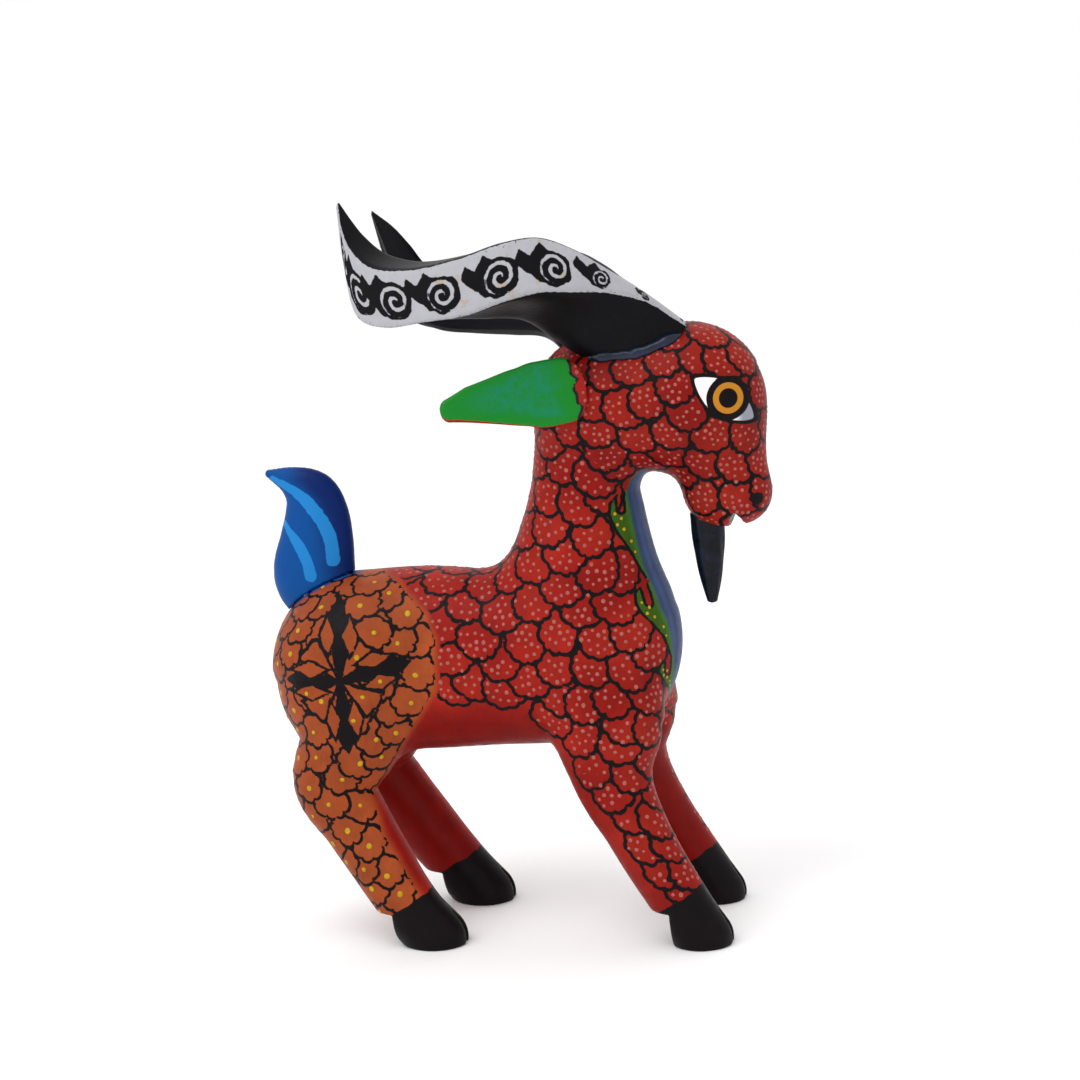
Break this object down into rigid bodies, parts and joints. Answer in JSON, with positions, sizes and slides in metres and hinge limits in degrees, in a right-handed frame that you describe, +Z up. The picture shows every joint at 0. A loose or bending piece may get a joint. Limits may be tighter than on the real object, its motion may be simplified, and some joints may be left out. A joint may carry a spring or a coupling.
{
  "type": "carved wooden goat figure",
  "caption": "Carved and hand-painted wooden goat, standing with its head raised, with swept-back blade horns, pointed ears, a chin beard and an upright tail, pieced together on dowels.",
  "frame": {"origin": "on the ground under the hooves, at the middle of the figure's bounding box", "axes": "+X the way the goat faces, +Y its left side, +Z up from the ground to the horn tips"},
  "size_m": [0.1736, 0.0798, 0.2486],
  "materials": {
    "body_paint": "red acrylic scales with black outlines and pink dots on carved copal wood, satin",
    "haunch_paint": "orange acrylic flowers with black outlines on carved copal wood, satin",
    "horn_paint": "black acrylic with a greyish white outer band and black spiral fretwork, satin",
    "ear_paint": "green acrylic on carved wood, glossy",
    "tail_paint": "deep blue acrylic with lighter strokes on carved wood, satin",
    "beard_paint": "black acrylic on carved wood, satin",
    "bare_wood": "bare sanded dowel"
  },
  "bodies": {
    "figure": {"body": "body_paint", "head": "body_paint", "front_leg_right": "body_paint", "front_leg_left": "body_paint", "hind_leg_right": "haunch_paint", "hind_leg_left": "haunch_paint", "ear_right": "ear_paint", "ear_left": "ear_paint", "beard": "beard_paint", "neck_dowel": "bare_wood", "front_leg_dowel_right": "bare_wood", "front_leg_dowel_left": "bare_wood", "hind_leg_dowel_right": "bare_wood", "hind_leg_dowel_left": "bare_wood", "ear_dowel_right": "bare_wood", "ear_dowel_left": "bare_wood"},
    "right_horn": {"horn_right": "horn_paint", "horn_peg_right": "bare_wood"},
    "left_horn": {"horn_left": "horn_paint", "horn_peg_left": "bare_wood"},
    "plug_tail": {"tail": "tail_paint", "tail_peg": "bare_wood"}
  },
  "joints": [
    {"name": "right_horn_pull", "type": "slide", "parent": "figure", "child": "right_horn", "axis": [0, 0, 1], "range_m": [0, 0.016]},
    {"name": "left_horn_pull", "type": "slide", "parent": "figure", "child": "left_horn", "axis": [0, 0, 1], "range_m": [0, 0.016]},
    {"name": "tail_pull", "type": "slide", "parent": "figure", "child": "plug_tail", "axis": [-0.4921, 0, 0.8705], "range_m": [0, 0.016]}
  ]
}
